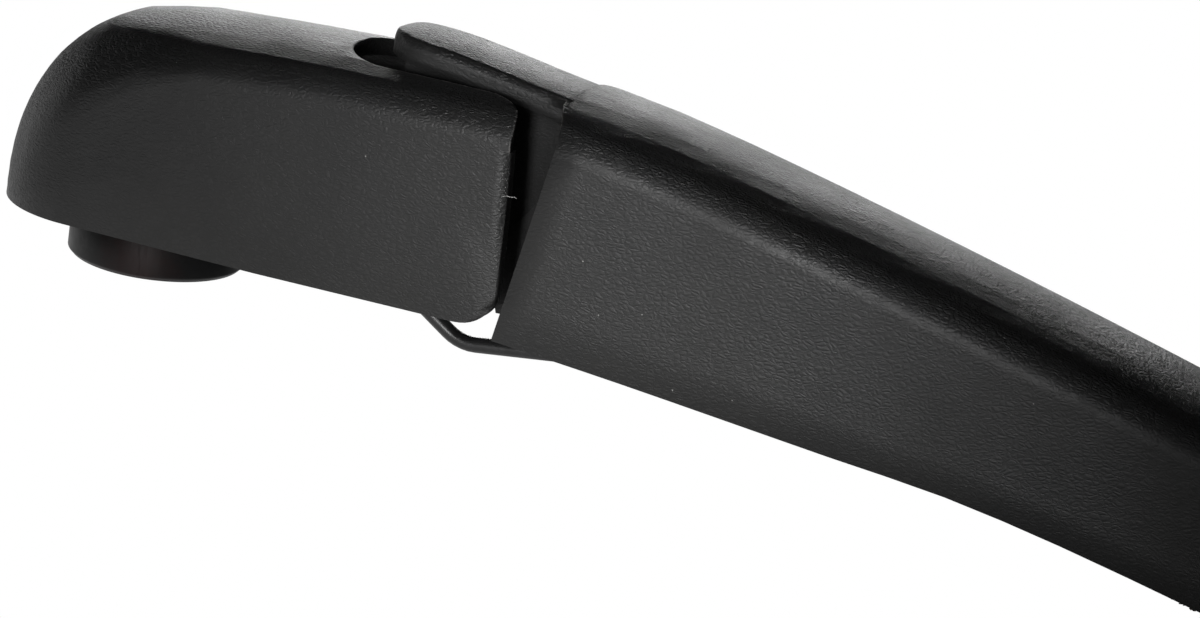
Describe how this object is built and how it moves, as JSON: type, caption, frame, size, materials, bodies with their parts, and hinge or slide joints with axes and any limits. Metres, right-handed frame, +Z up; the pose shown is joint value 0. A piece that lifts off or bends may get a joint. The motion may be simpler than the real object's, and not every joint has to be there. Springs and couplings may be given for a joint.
{
  "type": "rear window wiper arm",
  "caption": "Moulded rear wiper arm: cast head for a tapered spindle, flip-up cover, and a hinged sprung beam with a cross bore for a blade.",
  "frame": {"origin": "on the axis of the spindle bore, at the underside of the boss", "axes": "+Z up the spindle away from the car body, +X towards the arm's tip, +Y to the left of the arm as seen from the tip"},
  "size_m": [0.2799, 0.0246, 0.0678],
  "materials": {
    "casting": "semi-gloss black paint",
    "bush": "sintered bronze",
    "steel": "bright zinc plated",
    "cover_plastic": "grained black moulding",
    "arm_plastic": "grained black moulding",
    "spring_steel": "black coated spring wire",
    "wire": "black coated round wire"
  },
  "bodies": {
    "head": {"head_casting": "casting", "hinge_bush": "bush", "link_pin": "steel", "hinge_pin": "steel", "pin_clip": "steel"},
    "cover": {"head_cover": "cover_plastic"},
    "arm": {"arm_beam": "arm_plastic", "spring_anchor_pin": "steel", "tension_spring": "spring_steel"},
    "link": {"hook_link": "wire"}
  },
  "joints": [
    {"name": "arm_lift", "type": "hinge", "parent": "head", "child": "arm", "pos_m": [0.0335, 0, 0.0245], "axis": [0, -1, 0], "range_deg": [0, 58], "stiffness_Nm_per_rad": 0.3, "springref_deg": -137.51, "deforming": ["tension_spring"]},
    {"name": "cover_flip", "type": "hinge", "parent": "head", "child": "cover", "pos_m": [0.0335, 0, 0.0245], "axis": [0, 1, 0], "range_deg": [0, 55]},
    {"name": "link_swing", "type": "hinge", "parent": "head", "child": "link", "pos_m": [0.0255, 0, 0.0103], "axis": [0, -1, 0], "range_deg": [0, 45]}
  ],
  "couplings": [
    {"joint": "link_swing", "follows": "arm_lift", "ratio": 0.765}
  ]
}
